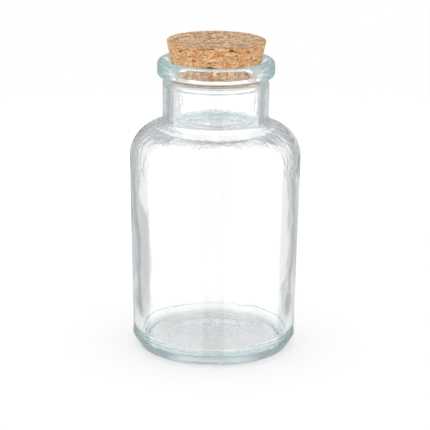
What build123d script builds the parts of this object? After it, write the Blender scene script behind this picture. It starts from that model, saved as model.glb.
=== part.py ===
from build123d import *
import os
from math import cos, radians, tan

# A small moulded glass storage jar closed by a tapered cork stopper.
# Millimetres, +Z up, origin at the centre of the ring that the jar stands on.

# Body, shoulder and neck of the jar
jar_height = 99.5
foot_diameter = 55.2
shoulder_diameter = 57.6
shoulder_round = 11.2
shoulder_slope = 18.0
neck_diameter = 35.6
neck_root_height = 78.2
neck_root_round = 2.2
neck_top_diameter = 35.7
neck_top_drop = 3.0
neck_top_round = 2.0

# Heel, the ridge left by the bottom plate of the mould, and the standing ring
heel_height = 4.2
heel_setback = 2.5
heel_round = 1.4
ridge_proud = 0.16
ridge_height = 0.5
ridge_run = 0.5
standing_ring_width = 2.6
standing_ring_round = 0.5

# Hollow underside: a step up from the ring, a shallow groove, and a dome
recess_depth = 0.9
recess_run = 1.6
groove_diameter = 34.0
groove_width = 1.4
groove_depth = 0.1
groove_side_run = 0.5
dome_rise = 1.1

# Notch through the standing ring at the front, a little left of centre
notch_width = 9.6
notch_depth = 0.6
notch_offset = -2.4
notch_end_run = 1.2
notch_overrun = 2.0

# Walls and floor of the jar
body_wall = 2.5
slope_wall = 2.6
neck_wall = 2.45
floor_height = 4.3
floor_crown = 0.7
floor_crown_diameter = 40.4
inner_heel_round = 3.0
inner_neck_root_round = 6.5

# Lip, and the bead and groove that the neck ring of the mould leaves below it
lip_diameter = 39.4
lip_height = 6.2
lip_under_rise = 0.9
lip_under_round = 1.6
lip_top_round = 1.7
mouth_round = 2.6
bead_diameter = 35.8
bead_round = 0.4
neck_groove_diameter = 35.0
neck_groove_drop = 0.1
neck_groove_width = 1.1
neck_groove_run = 0.65
neck_groove_round = 0.25

# Cork stopper
stopper_height = 11.2
stopper_top_diameter = 33.5
stopper_taper = 12.5
stopper_insertion = 4.7
stopper_edge_round = 0.4

# Conical seat of the stopper in the mouth
seat_clearance = 0.05
seat_overrun = 0.9
seat_relief_drop = 3.5
seat_relief_round = 1.2

foot_radius = foot_diameter / 2
shoulder_radius = shoulder_diameter / 2
neck_radius = neck_diameter / 2
ridge_radius = foot_radius + ridge_proud
ring_outer_radius = ridge_radius - heel_setback
ring_inner_radius = ring_outer_radius - standing_ring_width
slope_rise = tan(radians(shoulder_slope))
stopper_foot = jar_height - stopper_insertion
stopper_top = stopper_foot + stopper_height


def stopper_radius(height):
    """Radius of the cork's cone at a height above the ground."""
    return stopper_top_diameter / 2 - (stopper_top - height) * tan(radians(stopper_taper))


def shoulder_corner():
    """Where the body's side and the shoulder's slope would cross if nothing rounded the shoulder."""
    round_reach = shoulder_round * tan(radians(90 - shoulder_slope) / 2)
    crossing = neck_root_height - (shoulder_radius - neck_radius) * slope_rise
    lean = (shoulder_radius - foot_radius) / (crossing - round_reach - heel_height)
    radius = shoulder_radius + lean * round_reach
    return radius, neck_root_height - (radius - neck_radius) * slope_rise


def underside():
    """Radius, height and round of each corner from the dome's edge out to the standing ring."""
    groove_outer = groove_diameter / 2
    groove_inner = groove_outer - groove_width
    groove_top = recess_depth + groove_depth
    return [
        (groove_inner, recess_depth, 0),
        (groove_inner + groove_side_run, groove_top, 0),
        (groove_outer - groove_side_run, groove_top, 0),
        (groove_outer, recess_depth, 0),
        (ring_inner_radius - recess_run, recess_depth, standing_ring_round),
        (ring_inner_radius, 0, standing_ring_round),
        (ring_outer_radius, 0, heel_round),
    ]


def outer_wall():
    """Radius, height and round of each corner from the mould ridge up the outside to the rim."""
    ridge_top = heel_height + ridge_height
    lip_foot = jar_height - lip_height
    neck_groove_radius = neck_groove_diameter / 2
    neck_groove_top = lip_foot - neck_groove_drop
    neck_groove_foot = neck_groove_top - neck_groove_width
    return [
        (ridge_radius, heel_height, ridge_proud),
        (ridge_radius, ridge_top, ridge_proud),
        (foot_radius, ridge_top + ridge_run, ridge_run),
        (*shoulder_corner(), shoulder_round),
        (neck_radius, neck_root_height, neck_root_round),
        (neck_top_diameter / 2, lip_foot - neck_top_drop, neck_top_round),
        (bead_diameter / 2, neck_groove_foot - neck_groove_run, bead_round),
        (neck_groove_radius, neck_groove_foot, neck_groove_round),
        (neck_groove_radius, neck_groove_top, neck_groove_round),
        (lip_diameter / 2, lip_foot + lip_under_rise, lip_under_round),
        (lip_diameter / 2, jar_height, lip_top_round),
    ]


def inner_wall():
    """Radius, height and round of each corner from the mouth down the inside to the floor's crown."""
    corner_radius, corner_height = shoulder_corner()
    slope_drop = slope_wall / cos(radians(shoulder_slope))
    bore = neck_radius - neck_wall
    seat_foot = stopper_foot - seat_overrun
    return [
        (stopper_radius(jar_height) + seat_clearance, jar_height, mouth_round),
        (stopper_radius(seat_foot) + seat_clearance, seat_foot, seat_relief_round),
        (bore, seat_foot - seat_relief_drop, seat_relief_round),
        (bore, neck_root_height - slope_drop + neck_wall * slope_rise, inner_neck_root_round),
        (corner_radius - body_wall, corner_height - slope_drop + body_wall * slope_rise, shoulder_round - body_wall),
        (foot_radius - body_wall, floor_height, inner_heel_round),
        (floor_crown_diameter / 2, floor_height, 0),
    ]


def rounded(corners):
    """A line through the corners with their rounds, each smaller only where its walls are too short for it."""
    points = [Vector(radius, height) for radius, height, _ in corners]
    lines = [end - start for start, end in zip(points, points[1:])]
    reaches = [0]
    for (_, _, size), before, after in zip(corners[1:], lines, lines[1:]):
        reaches.append(size * tan(radians(before.get_angle(after)) / 2))
    reaches.append(0)
    room = [
        line.length / max(line.length, near + far)
        for line, near, far in zip(lines, reaches, reaches[1:])
    ]
    sizes = [size * min(before, after) for (_, _, size), before, after in zip(corners[1:], room, room[1:])]
    return FilletPolyline(*points, radius=sizes)


def notch():
    """A shallow bridge-shaped slot through the front of the standing ring, with sloping ends."""
    half = notch_width / 2
    inside = ring_inner_radius - recess_run - notch_overrun
    outline = Polyline(
        (notch_offset - half - notch_end_run, -notch_overrun),
        (notch_offset - half - notch_end_run, 0),
        (notch_offset - half, notch_depth),
        (notch_offset + half, notch_depth),
        (notch_offset + half + notch_end_run, 0),
        (notch_offset + half + notch_end_run, -notch_overrun),
        close=True,
    )
    slot = extrude(Plane.XZ * make_face(outline), ridge_radius - inside)
    return Pos(0, -inside, 0) * slot


def glass_jar():
    """The jar: one moulded piece of glass, turned from the section of its wall."""
    corners = underside() + outer_wall() + inner_wall()
    dome_edge, dome_foot, _ = corners[0]
    crown_edge, crown_foot, _ = corners[-1]
    dome_top = dome_foot + dome_rise
    crown_top = crown_foot + floor_crown
    section = Curve() + [
        TangentArc((0, dome_top), (dome_edge, dome_foot), tangent=(1, 0)),
        rounded(corners),
        TangentArc((0, crown_top), (crown_edge, crown_foot), tangent=(1, 0)),
        Line((0, crown_top), (0, dome_top)),
    ]
    return revolve(Plane.XZ * make_face(section), Axis.Z) - notch()


def cork_stopper():
    """The stopper: one tapered plug of cork, pushed part of its height into the mouth."""
    cone = Cone(stopper_radius(stopper_foot), stopper_top_diameter / 2, stopper_height)
    plug = Pos(0, 0, stopper_foot + stopper_height / 2) * cone
    return fillet(plug.edges().filter_by(GeomType.CIRCLE), stopper_edge_round)


os.makedirs("parts", exist_ok=True)
for name, shape in {"glass_jar": glass_jar(), "cork_stopper": cork_stopper()}.items():
    export_step(shape, f"parts/{name}.step")
    print(name, "volume", round(shape.volume), "mm3, height", shape.bounding_box().max.Z, "mm")
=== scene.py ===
from math import asin, cos, hypot, pi, radians, sin, tan

import bpy
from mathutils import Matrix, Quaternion, Vector


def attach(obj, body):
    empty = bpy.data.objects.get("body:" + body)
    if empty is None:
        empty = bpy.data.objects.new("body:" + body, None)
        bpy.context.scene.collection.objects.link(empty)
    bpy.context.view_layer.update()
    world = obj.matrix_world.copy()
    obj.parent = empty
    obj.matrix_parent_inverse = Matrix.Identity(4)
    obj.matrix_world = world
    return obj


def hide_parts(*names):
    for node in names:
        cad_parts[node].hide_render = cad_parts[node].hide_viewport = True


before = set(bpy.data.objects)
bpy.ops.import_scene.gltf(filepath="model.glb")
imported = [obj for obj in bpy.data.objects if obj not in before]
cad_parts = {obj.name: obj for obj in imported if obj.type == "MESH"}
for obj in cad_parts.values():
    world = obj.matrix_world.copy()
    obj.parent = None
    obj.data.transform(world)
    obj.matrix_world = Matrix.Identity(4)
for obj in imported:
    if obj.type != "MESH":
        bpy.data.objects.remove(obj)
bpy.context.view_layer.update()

mm = 0.001


# Glass jar
# One moulded piece of clear glass with a faint blue-green cast, thick in the base and the lip.
# Moulds shape its outside and air blows its inside, so that face waves and is hammered in places.

# Body, shoulder and the foot of the neck
jar_height = 99.5 * mm
foot_radius = 27.6 * mm
shoulder_radius = 28.8 * mm
shoulder_round = 11.2 * mm
shoulder_slope = radians(18)
neck_radius = 17.8 * mm
neck_root_height = 78.2 * mm
neck_root_round = 2.2 * mm

# Heel, the ridge left by the bottom plate of the mould, and the standing ring
heel_height = 4.2 * mm
heel_setback = 2.5 * mm
heel_round = 1.4 * mm
ridge_proud = 0.16 * mm
ridge_height = 0.5 * mm
ridge_run = 0.5 * mm
standing_ring_width = 2.6 * mm
standing_ring_round = 0.5 * mm

# Hollow underside: a step up from the ring, a shallow groove, and a dome
recess_depth = 0.9 * mm
recess_run = 1.6 * mm
groove_radius = 17.0 * mm
groove_width = 1.4 * mm
groove_depth = 0.1 * mm
groove_side_run = 0.5 * mm
dome_rise = 1.1 * mm
dome_steps = 16

# Notch through the standing ring at the front, a little left of centre
notch_width = 9.6 * mm
notch_depth = 0.6 * mm
notch_offset = -2.4 * mm
notch_end_run = 1.2 * mm

# Walls and floor
body_wall = 2.5 * mm
slope_wall = 2.6 * mm
neck_wall = 2.45 * mm
floor_height = 4.3 * mm
floor_crown = 0.7 * mm
floor_crown_radius = 20.2 * mm
floor_crown_steps = 40
inner_heel_round = 3.0 * mm
inner_neck_root_round = 6.5 * mm

# Lip, and the bead and groove that the neck ring of the mould leaves below it
lip_radius = 19.7 * mm
lip_height = 6.2 * mm
lip_under_rise = 0.9 * mm
lip_under_round = 1.6 * mm
lip_top_round = 1.7 * mm
mouth_round = 2.6 * mm
neck_top_radius = 17.85 * mm
neck_top_drop = 3.0 * mm
neck_top_round = 2.0 * mm
bead_radius = 17.9 * mm
bead_round = 0.4 * mm
neck_groove_radius = 17.5 * mm
neck_groove_drop = 0.1 * mm
neck_groove_width = 1.1 * mm
neck_groove_run = 0.65 * mm
neck_groove_round = 0.25 * mm

# Conical seat in the mouth, and the cone of the stopper that sits in it
seat_clearance = 0.05 * mm
seat_overrun = 0.9 * mm
seat_relief_drop = 3.5 * mm
seat_relief_round = 1.2 * mm
stopper_foot = 94.8 * mm
stopper_top = 106.0 * mm
stopper_top_radius = 16.75 * mm
stopper_taper = radians(12.5)

# How finely the jar is turned, and how far its blown face strays from true
sides_round_the_jar = 224
merge_distance = 0.001 * mm
smooth_up_to = radians(35)
facing_axis = 0.2
facing_up = 0.5
wave_length = 11.0 * mm
wave_size = 0.16 * mm
ripple_length = 3.2 * mm
ripple_size = 0.03 * mm


def stopper_radius(height):
    """Radius of the cork's cone at a height above the ground."""
    return stopper_top_radius - (stopper_top - height) * tan(stopper_taper)


def shoulder_corner():
    """Where the body's side and the shoulder's slope would cross if nothing rounded the shoulder."""
    slope_rise = tan(shoulder_slope)
    round_reach = shoulder_round * tan((pi / 2 - shoulder_slope) / 2)
    crossing = neck_root_height - (shoulder_radius - neck_radius) * slope_rise
    lean = (shoulder_radius - foot_radius) / (crossing - round_reach - heel_height)
    radius = shoulder_radius + lean * round_reach
    return radius, neck_root_height - (radius - neck_radius) * slope_rise


def base_and_outside():
    """Radius, height, round, its steps and the cuts before it, for each corner from the dome to the rim."""
    ridge_radius = foot_radius + ridge_proud
    ring_outer = ridge_radius - heel_setback
    ring_inner = ring_outer - standing_ring_width
    groove_inner = groove_radius - groove_width
    groove_top = recess_depth + groove_depth
    ridge_top = heel_height + ridge_height
    lip_foot = jar_height - lip_height
    neck_groove_top = lip_foot - neck_groove_drop
    neck_groove_foot = neck_groove_top - neck_groove_width
    return [
        (groove_inner, recess_depth, 0, 1, 1),
        (groove_inner + groove_side_run, groove_top, 0, 1, 1),
        (groove_radius - groove_side_run, groove_top, 0, 1, 1),
        (groove_radius, recess_depth, 0, 1, 1),
        (ring_inner - recess_run, recess_depth, standing_ring_round, 4, 4),
        (ring_inner, 0, standing_ring_round, 4, 1),
        (ring_outer, 0, heel_round, 6, 4),
        (ridge_radius, heel_height, ridge_proud, 4, 3),
        (ridge_radius, ridge_top, ridge_proud, 4, 1),
        (foot_radius, ridge_top + ridge_run, ridge_run, 4, 1),
        (*shoulder_corner(), shoulder_round, 18, 6),
        (neck_radius, neck_root_height, neck_root_round, 10, 3),
        (neck_top_radius, lip_foot - neck_top_drop, neck_top_round, 3, 4),
        (bead_radius, neck_groove_foot - neck_groove_run, bead_round, 3, 1),
        (neck_groove_radius, neck_groove_foot, neck_groove_round, 3, 1),
        (neck_groove_radius, neck_groove_top, neck_groove_round, 3, 1),
        (lip_radius, lip_foot + lip_under_rise, lip_under_round, 12, 1),
        (lip_radius, jar_height, lip_top_round, 10, 1),
    ]


def inside():
    """The same from the mouth down the inside to the edge of the floor's crown."""
    corner_radius, corner_height = shoulder_corner()
    slope_drop = slope_wall / cos(shoulder_slope)
    slope_rise = tan(shoulder_slope)
    bore = neck_radius - neck_wall
    seat_foot = stopper_foot - seat_overrun
    side_top = corner_height - slope_drop + body_wall * slope_rise
    return [
        (stopper_radius(jar_height) + seat_clearance, jar_height, mouth_round, 10, 1),
        (stopper_radius(seat_foot) + seat_clearance, seat_foot, seat_relief_round, 3, 3),
        (bore, seat_foot - seat_relief_drop, seat_relief_round, 3, 1),
        (bore, neck_root_height - slope_drop + neck_wall * slope_rise, inner_neck_root_round, 20, 10),
        (corner_radius - body_wall, side_top, shoulder_round - body_wall, 32, 6),
        (foot_radius - body_wall, floor_height, inner_heel_round, 12, 50),
        (floor_crown_radius, floor_height, 0, 1, 1),
    ]


def deselect_all():
    """Leaves no object selected, and the next primitive alone in hand."""
    bpy.ops.object.select_all(action="DESELECT")


def draw_straight(line, cuts):
    """Extrudes the section's last point along a line, in equal steps."""
    for _ in range(cuts):
        bpy.ops.mesh.extrude_vertices_move(TRANSFORM_OT_translate={"value": line / cuts})


def draw_section(corners):
    """Draws the wall's section beside the axis: each straight by extruding, each round by spinning."""
    points = [Vector((radius, 0, height)) for radius, height, *_ in corners]
    pen = points[0]
    reach_before = 0
    for index, (_, _, size, steps, cuts) in enumerate(corners[1:], start=1):
        here = points[index]
        if not size:
            draw_straight(here - pen, cuts)
            pen = here
            reach_before = 0
            continue
        line_in = here - points[index - 1]
        line_out = points[index + 1] - here
        way_in = line_in.normalized()
        way_out = line_out.normalized()
        turn = way_in.angle(way_out)
        reach = min(size * tan(turn / 2), line_in.length - reach_before, line_out.length)
        arc_start = here - way_in * reach
        draw_straight(arc_start - pen, cuts)
        turns_left = way_in.cross(way_out).y < 0
        side = Vector((0, -1, 0)) if turns_left else Vector((0, 1, 0))
        centre = arc_start + side.cross(way_in) * (reach / tan(turn / 2))
        bpy.ops.mesh.spin(steps=steps, angle=turn, center=centre, axis=-side)
        pen = here + way_out * reach
        reach_before = reach


def select_vertices(piece, is_wanted):
    """Selects the vertices that a test on place and normal picks, with the piece in edit mode after."""
    bpy.ops.object.mode_set(mode="EDIT")
    bpy.ops.mesh.select_mode(type="VERT")
    bpy.ops.mesh.select_all(action="DESELECT")
    bpy.ops.object.mode_set(mode="OBJECT")
    for vertex in piece.data.vertices:
        vertex.select = is_wanted(vertex)
    bpy.ops.object.mode_set(mode="EDIT")


# The wall's section starts as one point at the top of the dome, and is then turned round the axis.
deselect_all()
bpy.ops.mesh.primitive_plane_add(size=mm, enter_editmode=True)
jar = bpy.context.object
jar.name = "moulded_jar"
bpy.ops.mesh.merge(type="CENTER")

outline = base_and_outside() + inside()
dome_edge, dome_foot = outline[0][:2]
dome_radius = (dome_edge**2 + dome_rise**2) / (2 * dome_rise)
dome_top = dome_foot + dome_rise
bpy.ops.transform.translate(value=(0, 0, dome_top))
bpy.ops.mesh.spin(
    steps=dome_steps,
    angle=asin(dome_edge / dome_radius),
    center=(0, 0, dome_top - dome_radius),
    axis=(0, -1, 0),
)
draw_section(outline)
crown_radius = (floor_crown_radius**2 + floor_crown**2) / (2 * floor_crown)
bpy.ops.mesh.spin(
    steps=floor_crown_steps,
    angle=asin(floor_crown_radius / crown_radius),
    center=(0, 0, floor_height + floor_crown - crown_radius),
    axis=(0, 1, 0),
)
bpy.ops.mesh.select_all(action="SELECT")
bpy.ops.mesh.spin(steps=sides_round_the_jar, angle=2 * pi, center=(0, 0, 0), axis=(0, 0, 1))
bpy.ops.mesh.select_all(action="SELECT")
bpy.ops.mesh.remove_doubles(threshold=merge_distance)
bpy.ops.mesh.normals_make_consistent(inside=False)

# The notch is pressed up through the front of the standing ring, with sloping ends.
for half, rise in ((notch_width / 2 + notch_end_run / 2, notch_depth / 2), (notch_width / 2, notch_depth)):
    select_vertices(
        jar,
        lambda vertex: vertex.co.y < 0
        and hypot(vertex.co.x, vertex.co.y) > groove_radius
        and abs(vertex.co.x - notch_offset) < half
        and vertex.co.z < rise,
    )
    bpy.ops.transform.resize(value=(1, 1, 0), center_override=(0, 0, rise))


def is_blown(vertex):
    """Whether a vertex is on the blown inside, below the seat: the wall that faces the axis, or the floor."""
    across = vertex.co.to_2d()
    inward = -vertex.normal.to_2d().dot(across.normalized()) if across.length > mm else 0
    in_base = vertex.co.z < floor_height + inner_heel_round and vertex.normal.z > facing_up
    is_between = floor_height - mm < vertex.co.z < stopper_foot - seat_overrun - seat_relief_drop
    return is_between and (inward > facing_axis or in_base)


select_vertices(jar, is_blown)
blown_wall = jar.vertex_groups.new(name="blown_wall")
bpy.ops.object.mode_set(mode="OBJECT")
blown = [vertex.index for vertex in jar.data.vertices if vertex.select]
blown_wall.add(blown, 1.0, "REPLACE")
inside_face = jar.data.attributes.new(name="inside_face", type="FLOAT", domain="POINT")
for index in blown:
    inside_face.data[index].value = 1.0

# The blow thinned the wall in places. Each has its turn from the front, the foot and top of a run of
# the inside, how far that run is drawn out, and the reach of the soft edge round it.
thin_places = (
    (radians(-90), 56 * mm, 66 * mm, 0.45 * mm, 20 * mm),
    (radians(90), 36 * mm, 42 * mm, 0.3 * mm, 18 * mm),
)
half_side = foot_radius * pi / sides_round_the_jar
bpy.ops.object.mode_set(mode="EDIT")
bpy.ops.mesh.hide(unselected=True)
for turn, low, high, drawn_out, reach in thin_places:
    outward = Vector((sin(turn), -cos(turn), 0))
    select_vertices(
        jar,
        lambda vertex: not vertex.hide
        and low < vertex.co.z < high
        and vertex.co.dot(outward) > 0
        and (vertex.co.to_2d() - outward.to_2d() * vertex.co.dot(outward)).length < half_side,
    )
    bpy.ops.transform.translate(
        value=outward * drawn_out,
        use_proportional_edit=True,
        proportional_edit_falloff="SMOOTH",
        proportional_size=reach,
    )
bpy.ops.mesh.reveal(select=False)
bpy.ops.object.mode_set(mode="OBJECT")

for name, length, size in (("wave", wave_length, wave_size), ("ripple", ripple_length, ripple_size)):
    pattern = bpy.data.textures.new(name, type="CLOUDS")
    pattern.noise_scale = length
    pattern.noise_depth = 1
    displace = jar.modifiers.new(name, "DISPLACE")
    displace.texture = pattern
    displace.texture_coords = "LOCAL"
    displace.vertex_group = "blown_wall"
    displace.mid_level = 0.5
    displace.strength = size
    bpy.ops.object.modifier_apply(modifier=name)
bpy.ops.object.shade_smooth_by_angle(angle=smooth_up_to)


def start_material(name):
    """A new material with an empty node tree."""
    material = bpy.data.materials.new(name)
    material.use_nodes = True
    material.node_tree.nodes.clear()
    return material


def add(tree, kind, inputs=None, **settings):
    """Adds a node, sets its options, and sets or links its inputs."""
    node = tree.nodes.new(kind)
    for name, value in settings.items():
        setattr(node, name, value)
    for name, value in (inputs or {}).items():
        if isinstance(value, bpy.types.NodeSocket):
            tree.links.new(value, node.inputs[name])
        else:
            node.inputs[name].default_value = value
    return node


def calculate(tree, operation, *values):
    """A Math node's output, from numbers or other nodes' outputs."""
    return add(tree, "ShaderNodeMath", dict(enumerate(values)), operation=operation).outputs[0]


def combine(tree, operation, first, *others):
    """Several numbers or outputs joined by one operation, from left to right."""
    for other in others:
        first = calculate(tree, operation, first, other)
    return first


def ramp(tree, value, start, end, before, after):
    """A level that turns smoothly from one to another while a value passes from a start to an end."""
    inputs = {"Value": value, "From Min": start, "From Max": end, "To Min": before, "To Max": after}
    return add(tree, "ShaderNodeMapRange", inputs, interpolation_type="SMOOTHSTEP").outputs["Result"]


def scaled(tree, place, scale):
    """A place scaled along each axis, so that a pattern read there is made finer or drawn out."""
    return add(tree, "ShaderNodeMapping", {"Vector": place, "Scale": scale}).outputs["Vector"]


def noise(tree, place, scale, detail, roughness=0.5, distortion=0.0):
    """A noise pattern's level at a place."""
    inputs = {
        "Vector": place,
        "Scale": scale,
        "Detail": detail,
        "Roughness": roughness,
        "Distortion": distortion,
    }
    return add(tree, "ShaderNodeTexNoise", inputs).outputs["Fac"]


# Hammering. A zone is the run of height, or of distance from the axis, over which its share changes.
mark_detail = 1.0
hammer_length = 1.7 * mm
hammer_size = 0.09 * mm
wall_share = 0.12
neck_share = 0.6
floor_edge_share = 0.9
floor_middle_share = 4.5
slope_zone = (58 * mm, 66 * mm)
neck_zone = (76 * mm, 80 * mm)
heel_zone = (6 * mm, 9 * mm)
floor_zone = (6 * mm, 15 * mm)

# Upright streaks where the neck was drawn in
streak_width = 1.1 * mm
streak_stretch = 7.0
streak_size = 0.06 * mm
streak_zone = (72 * mm, 78 * mm)

# Faint turned rings near the foot
ring_spacing = 1.2 * mm
ring_size = 0.08 * mm
ring_middle_share = 0.2
ring_height_zone = (5 * mm, 9 * mm)
ring_middle_zone = (12 * mm, 18 * mm)

# The glass itself, whose cast deepens with the length of glass that is looked through
glass_refraction = 1.52
glass_cast = (0.80, 0.96, 0.955, 1)
glass_cast_density = 13.5

glass = start_material("clear_glass")
tree = glass.node_tree
place = add(tree, "ShaderNodeTexCoord").outputs["Object"]
parts = add(tree, "ShaderNodeSeparateXYZ", {"Vector": place}).outputs
height = parts["Z"]
flat = add(tree, "ShaderNodeCombineXYZ", {"X": parts["X"], "Y": parts["Y"]}).outputs["Vector"]
from_axis = add(tree, "ShaderNodeVectorMath", {0: flat}, operation="LENGTH").outputs["Value"]
on_inside = add(tree, "ShaderNodeAttribute", attribute_name="inside_face").outputs["Fac"]

hammer = noise(tree, place, 1 / hammer_length, mark_detail)
up_the_wall = ramp(tree, height, *slope_zone, wall_share, 1.0)
up_the_neck = ramp(tree, height, *neck_zone, 1.0, neck_share)
up_the_heel = ramp(tree, height, *heel_zone, 1.0, wall_share)
across_the_floor = ramp(tree, from_axis, *floor_zone, floor_middle_share, floor_edge_share)
on_wall = calculate(tree, "MULTIPLY", up_the_wall, up_the_neck)
on_floor = calculate(tree, "MULTIPLY", up_the_heel, across_the_floor)
hammered = calculate(tree, "MAXIMUM", on_wall, on_floor)
hammered = combine(tree, "MULTIPLY", hammered, on_inside, hammer, hammer_size)

streak_scale = 1 / streak_width
upright = scaled(tree, place, (streak_scale, streak_scale, streak_scale / streak_stretch))
streaks = noise(tree, upright, 1.0, mark_detail)
in_neck = ramp(tree, height, *streak_zone, 0.0, streak_size)
streaks = combine(tree, "MULTIPLY", in_neck, on_inside, streaks)

turned = add(tree, "ShaderNodeCombineXYZ", {"X": from_axis, "Z": height}).outputs["Vector"]
rings = noise(tree, scaled(tree, turned, (1 / ring_spacing, 0, 1 / ring_spacing)), 1.0, mark_detail)
near_foot = ramp(tree, height, *ring_height_zone, ring_size, 0.0)
off_middle = ramp(tree, from_axis, *ring_middle_zone, ring_middle_share, 1.0)
rings = combine(tree, "MULTIPLY", near_foot, off_middle, rings)

marks = combine(tree, "ADD", hammered, streaks, rings)
bump = add(tree, "ShaderNodeBump", {"Height": marks, "Distance": 1.0}).outputs["Normal"]
surface_inputs = {
    "Base Color": (1, 1, 1, 1),
    "Roughness": 0.0,
    "IOR": glass_refraction,
    "Transmission Weight": 1.0,
    "Normal": bump,
}
surface = add(tree, "ShaderNodeBsdfPrincipled", surface_inputs).outputs["BSDF"]
cast_inputs = {"Color": glass_cast, "Density": glass_cast_density}
cast = add(tree, "ShaderNodeVolumeAbsorption", cast_inputs).outputs["Volume"]
add(tree, "ShaderNodeOutputMaterial", {"Surface": surface, "Volume": cast})
jar.data.materials.append(glass)

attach(jar, "jar")
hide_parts("glass_jar")


# Cork stopper
# One tapered plug cut from natural cork bark, sanded but not sealed, and pushed into the mouth by hand.
# The bark's grain and its dark pores run from side to side, so its two ends show end grain.
stopper_height = stopper_top - stopper_foot
stopper_edge_round = 0.4 * mm
stopper_edge_steps = 3
stopper_sides = 192
stopper_sharp_edge = radians(60)
cork_cell = 0.22 * mm
cork_skin = 0.03 * mm

# What is broken out of its face: pores and grain all over, and crumbs along the two rims
grain_stretch = 3.8
pore_length = 1.1 * mm
pore_depth = 0.55 * mm
grain_length = 0.55 * mm
grain_depth = 0.16 * mm
crumb_length = 0.8 * mm
crumb_depth = 0.45 * mm
crumb_reach = 0.7 * mm

deselect_all()
bpy.ops.mesh.primitive_cone_add(
    vertices=stopper_sides,
    radius1=stopper_radius(stopper_foot),
    radius2=stopper_top_radius,
    depth=stopper_height,
    enter_editmode=True,
)
cork = bpy.context.object
cork.name = "tapered_cork"
bpy.ops.transform.translate(value=(0, 0, stopper_foot + stopper_height / 2))
bpy.ops.mesh.select_all(action="DESELECT")
bpy.ops.mesh.select_mode(type="EDGE")
bpy.ops.mesh.edges_select_sharp(sharpness=stopper_sharp_edge)
bpy.ops.mesh.bevel(offset=stopper_edge_round, segments=stopper_edge_steps, affect="EDGES")
bpy.ops.object.mode_set(mode="OBJECT")

cells = cork.modifiers.new("cells", "REMESH")
cells.mode = "VOXEL"
cells.voxel_size = cork_cell
bpy.ops.object.modifier_apply(modifier="cells")


def insets(place):
    """How far a place lies inside the cone that the cork was cut to, and inside the nearer of its ends."""
    side = (stopper_radius(place.z) - hypot(place.x, place.y)) * cos(stopper_taper)
    return side, min(stopper_top - place.z, place.z - stopper_foot)


# The rims crumble most at their very edge.
rims = cork.vertex_groups.new(name="rims")
for vertex in cork.data.vertices:
    share = 1 - max(insets(vertex.co)) / crumb_reach
    if share > 0:
        rims.add([vertex.index], share, "REPLACE")

deselect_all()
bpy.ops.object.empty_add(location=(0, 0, 0))
grain_helper = bpy.context.object
grain_helper.scale = (grain_stretch, 1, 1)
cork.select_set(True)
bpy.context.view_layer.objects.active = cork
bpy.context.view_layer.update()


def carve(name, length, detail, start, full, depth, group=""):
    """Sinks the cork's face where a noise pattern along its grain passes from a start level to a full one."""
    pattern = bpy.data.textures.new(name, type="CLOUDS")
    pattern.noise_scale = length
    pattern.noise_depth = detail
    pattern.use_color_ramp = True
    pattern.color_ramp.elements[0].position = start
    pattern.color_ramp.elements[0].color = (0, 0, 0, 1)
    pattern.color_ramp.elements[1].position = full
    pattern.color_ramp.elements[1].color = (1, 1, 1, 1)
    carving = cork.modifiers.new(name, "DISPLACE")
    carving.texture = pattern
    carving.texture_coords = "OBJECT"
    carving.texture_coords_object = grain_helper
    carving.vertex_group = group
    carving.mid_level = 0
    carving.strength = -depth
    bpy.ops.object.modifier_apply(modifier=name)


skin = cork.modifiers.new("skin", "DISPLACE")
skin.mid_level = 0
skin.strength = -cork_skin
bpy.ops.object.modifier_apply(modifier="skin")
carve("crumbs", crumb_length, detail=1, start=0.45, full=0.75, depth=crumb_depth, group="rims")
carve("pores", pore_length, detail=1, start=0.68, full=0.80, depth=pore_depth)
carve("grain", grain_length, detail=2, start=0.35, full=0.9, depth=grain_depth)
bpy.data.objects.remove(grain_helper)

# Each point keeps its depth below the face as it was cut, in millimetres, for the dark brown painted into
# carved hollows: partly the pores' own dark filling, partly painted shade that deepens with depth.
depth_mark = cork.data.attributes.new(name="depth", type="FLOAT", domain="POINT")
for vertex in cork.data.vertices:
    depth_mark.data[vertex.index].value = min(insets(vertex.co)) / mm
bpy.ops.object.shade_smooth()


def paint(red, green, blue):
    """A colour as a screen shows it, 0 to 255, made linear for the shader."""
    shares = [channel / 255 for channel in (red, green, blue)]
    return (*[((share + 0.055) / 1.055) ** 2.4 if share > 0.04045 else share / 12.92 for share in shares], 1)


def colours(tree, value, stops):
    """A colour ramp's output over a value, from its places and colours."""
    node = add(tree, "ShaderNodeValToRGB", {"Fac": value})
    while len(node.color_ramp.elements) < len(stops):
        node.color_ramp.elements.new(0.5)
    for element, (position, colour) in zip(node.color_ramp.elements, stops):
        element.position = position
        element.color = colour
    return node.outputs["Color"]


def blend(tree, share, below, above):
    """A mix of two colours, by a share from 0 to 1."""
    return add(tree, "ShaderNodeMix", {0: share, 6: below, 7: above}, data_type="RGBA").outputs[2]


def seam(tree, grain, scale, detail, distortion, width):
    """Thin wavy lines where a noise passes its middle level, one on the line and nothing off it."""
    pattern = noise(tree, grain, scale, detail, 0.55, distortion)
    off_line = calculate(tree, "ABSOLUTE", calculate(tree, "SUBTRACT", pattern, 0.5))
    return ramp(tree, off_line, 0.0, width, 1.0, 0.0)


# Side: orange-brown layers with pale flecks, darker cracks and thin red-brown seams
side_layers = (
    (0.36, paint(244, 146, 70)),
    (0.45, paint(253, 176, 98)),
    (0.54, paint(255, 194, 122)),
    (0.64, paint(255, 220, 162)),
)
fleck_colour = paint(255, 236, 202)
fleck_levels = (0.51, 0.58)
crack_colour = paint(184, 92, 38)
crack_levels = (0.46, 0.39)
seam_colour = paint(190, 88, 36)
seam_strength = 0.55

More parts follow.
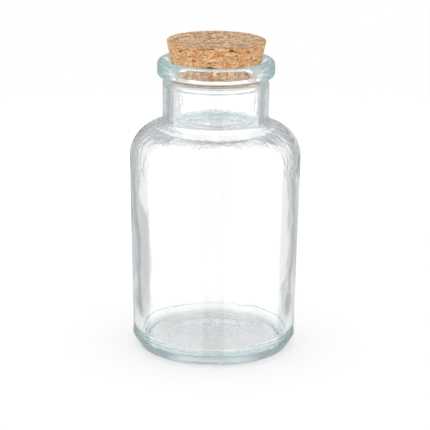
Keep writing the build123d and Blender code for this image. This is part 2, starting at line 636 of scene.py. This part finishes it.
# Top and foot: the same layers seen end on, greyer, in broader cells with dark slits between them
end_stretch = 1.1
end_layers = (
    (0.37, paint(104, 58, 30)),
    (0.43, paint(182, 134, 90)),
    (0.50, paint(214, 178, 140)),
    (0.57, paint(232, 204, 170)),
    (0.64, paint(252, 236, 212)),
)
slit_colour = paint(110, 60, 32)
slit_strength = 0.8
end_facing = (0.6, 0.85)
end_strength = 0.9

# Dark brown in the carved pores and rim crumbs, by their depths in millimetres: partly the pores' dark
# filling, partly painted shade. Then the pale dust that sanding leaves
pore_and_shade_colour = paint(84, 46, 24)
pore_and_shade_depths = (0.18, 0.5)
pore_and_shade_strength = 0.9
dust_colour = paint(246, 210, 166)
dust_levels = (0.35, 0.65)
dust_strength = 0.2
cork_roughness = 0.9
cork_gloss = 0.25
cork_bump = 0.1 * mm

bark = start_material("natural_cork")
tree = bark.node_tree
place = add(tree, "ShaderNodeTexCoord").outputs["Object"]
along = scaled(tree, place, (1 / grain_stretch / mm, 1 / mm, 1 / mm))
end_on = scaled(tree, place, (1 / end_stretch / mm, 1 / mm, 1 / mm))

bands = noise(tree, along, scale=0.8, detail=4.0, roughness=0.65, distortion=0.5)
flakes = noise(tree, along, scale=2.0, detail=4.0, roughness=0.75, distortion=0.6)
dust = noise(tree, along, scale=4.0, detail=2.0, roughness=0.6)
long_seams = seam(tree, along, scale=1.0, detail=3.0, distortion=0.8, width=0.03)
short_seams = seam(tree, along, scale=2.0, detail=2.0, distortion=0.8, width=0.03)
seams = calculate(tree, "MAXIMUM", long_seams, short_seams)
bark_colour = colours(tree, bands, side_layers)
bark_colour = blend(tree, ramp(tree, flakes, *fleck_levels, 0.0, 1.0), bark_colour, fleck_colour)
bark_colour = blend(tree, ramp(tree, flakes, *crack_levels, 0.0, 1.0), bark_colour, crack_colour)
bark_colour = blend(tree, calculate(tree, "MULTIPLY", seams, seam_strength), bark_colour, seam_colour)

broad_cells = noise(tree, end_on, scale=0.75, detail=3.0, roughness=0.75, distortion=0.5)
slits = seam(tree, end_on, scale=0.5, detail=2.0, distortion=0.8, width=0.02)
end_colour = colours(tree, broad_cells, end_layers)
end_colour = blend(tree, calculate(tree, "MULTIPLY", slits, slit_strength), end_colour, slit_colour)
facing = add(tree, "ShaderNodeNewGeometry").outputs["Normal"]
upward = add(tree, "ShaderNodeSeparateXYZ", {"Vector": facing}).outputs["Z"]
on_ends = ramp(tree, calculate(tree, "ABSOLUTE", upward), *end_facing, 0.0, end_strength)
bark_colour = blend(tree, on_ends, bark_colour, end_colour)

depth = add(tree, "ShaderNodeAttribute", attribute_name="depth").outputs["Fac"]
# Painted shade: pores and rim crumbs darken with how deep they are carved, on top of the pores' own dark
# filling.
bark_colour = blend(tree, ramp(tree, depth, *pore_and_shade_depths, 0.0, pore_and_shade_strength), bark_colour, pore_and_shade_colour)
bark_colour = blend(tree, ramp(tree, dust, *dust_levels, 0.0, dust_strength), bark_colour, dust_colour)

rough_height = calculate(tree, "SUBTRACT", calculate(tree, "ADD", flakes, dust), seams)
rough_height = calculate(tree, "MULTIPLY", rough_height, cork_bump)
bump = add(tree, "ShaderNodeBump", {"Height": rough_height, "Distance": 1.0}).outputs["Normal"]
surface_inputs = {
    "Base Color": bark_colour,
    "Roughness": cork_roughness,
    "Specular IOR Level": cork_gloss,
    "Normal": bump,
}
surface = add(tree, "ShaderNodeBsdfPrincipled", surface_inputs).outputs["BSDF"]
add(tree, "ShaderNodeOutputMaterial", {"Surface": surface})
cork.data.materials.append(bark)

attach(cork, "stopper")
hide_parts("cork_stopper")


# Floor
# A plain white studio sweep, wide enough to fill the picture below the horizon.
# It keeps the soft shadow under the jar, and its own white is made up to the backdrop's.
floor_radius = 0.4
floor_sides = 64
floor_colour = (0.62, 0.62, 0.62, 1)
floor_fill = 0.42
floor_seen_zone = (36 * mm, 60 * mm)

deselect_all()
bpy.ops.mesh.primitive_circle_add(vertices=floor_sides, radius=floor_radius, fill_type="NGON")
floor = bpy.context.object
floor.name = "floor"
floor_paint = start_material("floor_paint")
tree = floor_paint.node_tree
paths = add(tree, "ShaderNodeLightPath").outputs
through_glass = paths["Is Transmission Ray"]
matt = add(tree, "ShaderNodeBsdfDiffuse", {"Color": floor_colour}).outputs["BSDF"]
seen = calculate(tree, "MAXIMUM", paths["Is Camera Ray"], through_glass)
made_up = calculate(tree, "MULTIPLY", seen, floor_fill)
fill = add(tree, "ShaderNodeEmission", {"Strength": made_up}).outputs["Emission"]
both = add(tree, "ShaderNodeAddShader", {0: matt, 1: fill}).outputs["Shader"]

# Glass shows the floor near the jar only, and the studio's screens in place of the rest.
place = add(tree, "ShaderNodeTexCoord").outputs["Object"]
from_jar = add(tree, "ShaderNodeVectorMath", {0: place}, operation="LENGTH").outputs["Value"]
far_off = ramp(tree, from_jar, *floor_seen_zone, 0.0, 1.0)
screened = calculate(tree, "MULTIPLY", through_glass, far_off)
clear = add(tree, "ShaderNodeBsdfTransparent").outputs["BSDF"]
shown = add(tree, "ShaderNodeMixShader", {0: screened, 1: both, 2: clear}).outputs["Shader"]
add(tree, "ShaderNodeOutputMaterial", {"Surface": shown})
floor.data.materials.append(floor_paint)
floor.visible_glossy = False


# Studio
# A white room: the camera sees it plain white, and matt faces are lit by it evenly.
# The glass shows white screens behind it with greyer gaps between, and two softboxes in front.

# Angles are heights above level, and turns from straight behind the jar. A pair is a soft edge's two ends.
# The main screen stands behind the jar. The next ones are taller at its sides, and low in between.
screen_level = 1.06
screen_middle = radians(2.5)
screen_half = radians(13.5)
next_screen_half = radians(8)
screen_soft = radians(2.5)
screen_spacing = radians(45)
screen_foot = (radians(-40), radians(-33))
screen_top = (radians(-7.5), radians(-4.5))
low_screen_top = (radians(-22.5), radians(-20))
side_screen_start = (radians(62), radians(66))
side_screen_top = (radians(10), radians(13))

# Gaps between the screens: paler next to the main one, darkest just above it, and pale near the floor
gap_tint = (0.94, 0.975, 1.0, 1)
gap_level = 0.75
far_gap_level = 0.48
far_gap_start = (radians(20), radians(38))
left_gap_share = 0.92
left_gap_edge = (radians(-30), radians(30))
low_gap_level = 0.84
low_gap_top = (radians(-45), radians(-33))
high_gap_level = 0.44
high_gap_foot = (radians(-5), radians(2))
high_gap_top = (radians(14), radians(22))
upper_gap_level = 0.75
ceiling_level = 0.85
ceiling_foot = (radians(45), radians(60))

# Softboxes and the rest of the room as they mirror in the glass, with turns of the boxes from the front
box_level = 2.8
box_start = (radians(12), radians(16))
box_end = (radians(100), radians(108))
box_foot = (radians(-42), radians(-38))
box_top = (radians(45), radians(52))
overhead_level = 4.0
overhead_foot = (radians(50), radians(54))
back_mirrored = 0.45
front_mirrored = 1.2
front_start = (radians(70), radians(90))

# Even light on matt faces
level_light = 1.4
high_light = 0.9
light_heights = (0.0, radians(60))


def choose(tree, share, otherwise, chosen):
    """One level for a kind of ray, and another for the rest."""
    return add(tree, "ShaderNodeMix", {"Factor": share, "A": otherwise, "B": chosen}).outputs["Result"]


studio = bpy.data.worlds.new("studio")
bpy.context.scene.world = studio
studio.use_nodes = True
tree = studio.node_tree
tree.nodes.clear()
way = add(tree, "ShaderNodeTexCoord").outputs["Generated"]
parts = add(tree, "ShaderNodeSeparateXYZ", {"Vector": way}).outputs
height = calculate(tree, "ARCSINE", parts["Z"])
turn = calculate(tree, "ARCTAN2", parts["X"], parts["Y"])
turn_away = calculate(tree, "ABSOLUTE", turn)

off_middle = calculate(tree, "ABSOLUTE", calculate(tree, "SUBTRACT", turn, screen_middle))
off_next = calculate(tree, "PINGPONG", turn, screen_spacing / 2)
main_screen = ramp(tree, off_middle, screen_half - screen_soft, screen_half + screen_soft, 1.0, 0.0)
next_screen = ramp(tree, off_next, next_screen_half - screen_soft, next_screen_half + screen_soft, 1.0, 0.0)
at_side = ramp(tree, turn_away, *side_screen_start, 0.0, 1.0)
low_down = ramp(tree, height, *low_screen_top, 1.0, 0.0)
next_screen = calculate(tree, "MULTIPLY", next_screen, calculate(tree, "MAXIMUM", at_side, low_down))
behind = calculate(tree, "MAXIMUM", main_screen, next_screen)
behind = calculate(tree, "MULTIPLY", behind, ramp(tree, height, *screen_top, 1.0, 0.0))
beside = combine(tree, "MULTIPLY", next_screen, at_side, ramp(tree, height, *side_screen_top, 1.0, 0.0))
above_foot = ramp(tree, height, *screen_foot, 0.0, 1.0)
screens = calculate(tree, "MAXIMUM", behind, beside)
screens = combine(tree, "MULTIPLY", screens, above_foot, screen_level)

gaps = ramp(tree, turn_away, *far_gap_start, gap_level, far_gap_level)
gaps = calculate(tree, "MULTIPLY", gaps, ramp(tree, turn, *left_gap_edge, left_gap_share, 1.0))
gaps = calculate(tree, "MAXIMUM", gaps, ramp(tree, height, *low_gap_top, low_gap_level, 0.0))
above_screens = ramp(tree, height, *high_gap_foot, 1.0, high_gap_level)
upper_gap = ramp(tree, height, *high_gap_top, 0.0, upper_gap_level)
gaps = calculate(tree, "MINIMUM", gaps, calculate(tree, "MAXIMUM", above_screens, upper_gap))
gaps = calculate(tree, "MAXIMUM", gaps, ramp(tree, height, *ceiling_foot, 0.0, ceiling_level))
through_glass = calculate(tree, "MAXIMUM", screens, gaps)

from_front = calculate(tree, "SUBTRACT", pi, turn_away)
across_box = calculate(
    tree,
    "MULTIPLY",
    ramp(tree, from_front, *box_start, 0.0, 1.0),
    ramp(tree, from_front, *box_end, 1.0, 0.0),
)
up_box = calculate(
    tree,
    "MULTIPLY",
    ramp(tree, height, *box_top, 1.0, 0.0),
    ramp(tree, height, *box_foot, 0.0, 1.0),
)
boxes = combine(tree, "MULTIPLY", across_box, up_box, box_level)
overhead = ramp(tree, height, *overhead_foot, 0.0, overhead_level)
rest_of_room = ramp(tree, turn_away, *front_start, back_mirrored, front_mirrored)
mirrored = combine(tree, "MAXIMUM", boxes, overhead, rest_of_room)
even = ramp(tree, height, *light_heights, level_light, high_light)

paths = add(tree, "ShaderNodeLightPath").outputs
onto_matt = calculate(tree, "MINIMUM", paths["Diffuse Depth"], 1.0)
level = choose(tree, paths["Is Glossy Ray"], even, mirrored)
level = choose(tree, paths["Is Transmission Ray"], level, choose(tree, onto_matt, through_glass, even))
level = choose(tree, paths["Is Camera Ray"], level, 1.0)
off_screens = calculate(tree, "SUBTRACT", 1.0, calculate(tree, "MINIMUM", screens, 1.0))
in_gap = calculate(tree, "MULTIPLY", paths["Is Transmission Ray"], off_screens)
tint = blend(tree, in_gap, (1, 1, 1, 1), gap_tint)
backdrop = add(tree, "ShaderNodeBackground", {"Color": tint, "Strength": level}).outputs["Background"]
add(tree, "ShaderNodeOutputWorld", {"Surface": backdrop})


# Camera
# A long lens a little above the jar and straight in front of it, as in the photograph.
# Its distance, height, roll and aim are those that fit the jar's outline there.
camera_distance = 0.680
camera_elevation = radians(15.864)
camera_roll = radians(0.563)
camera_aim = Vector((0.000107, 0, 0.0453))
camera_sensor_width = 36
camera_lens = 167.04
light_bounces = 64

away = Vector((0, -cos(camera_elevation), sin(camera_elevation)))
deselect_all()
bpy.ops.object.camera_add(location=camera_aim + away * camera_distance)
camera = bpy.context.object
camera.rotation_mode = "QUATERNION"
camera.rotation_quaternion = (-away).to_track_quat("-Z", "Y") @ Quaternion((0, 0, 1), camera_roll)
camera.data.sensor_width = camera_sensor_width
camera.data.lens = camera_lens
scene = bpy.context.scene
scene.camera = camera
scene.view_settings.view_transform = "Standard"
scene.cycles.max_bounces = light_bounces
scene.cycles.transmission_bounces = light_bounces
scene.cycles.glossy_bounces = light_bounces
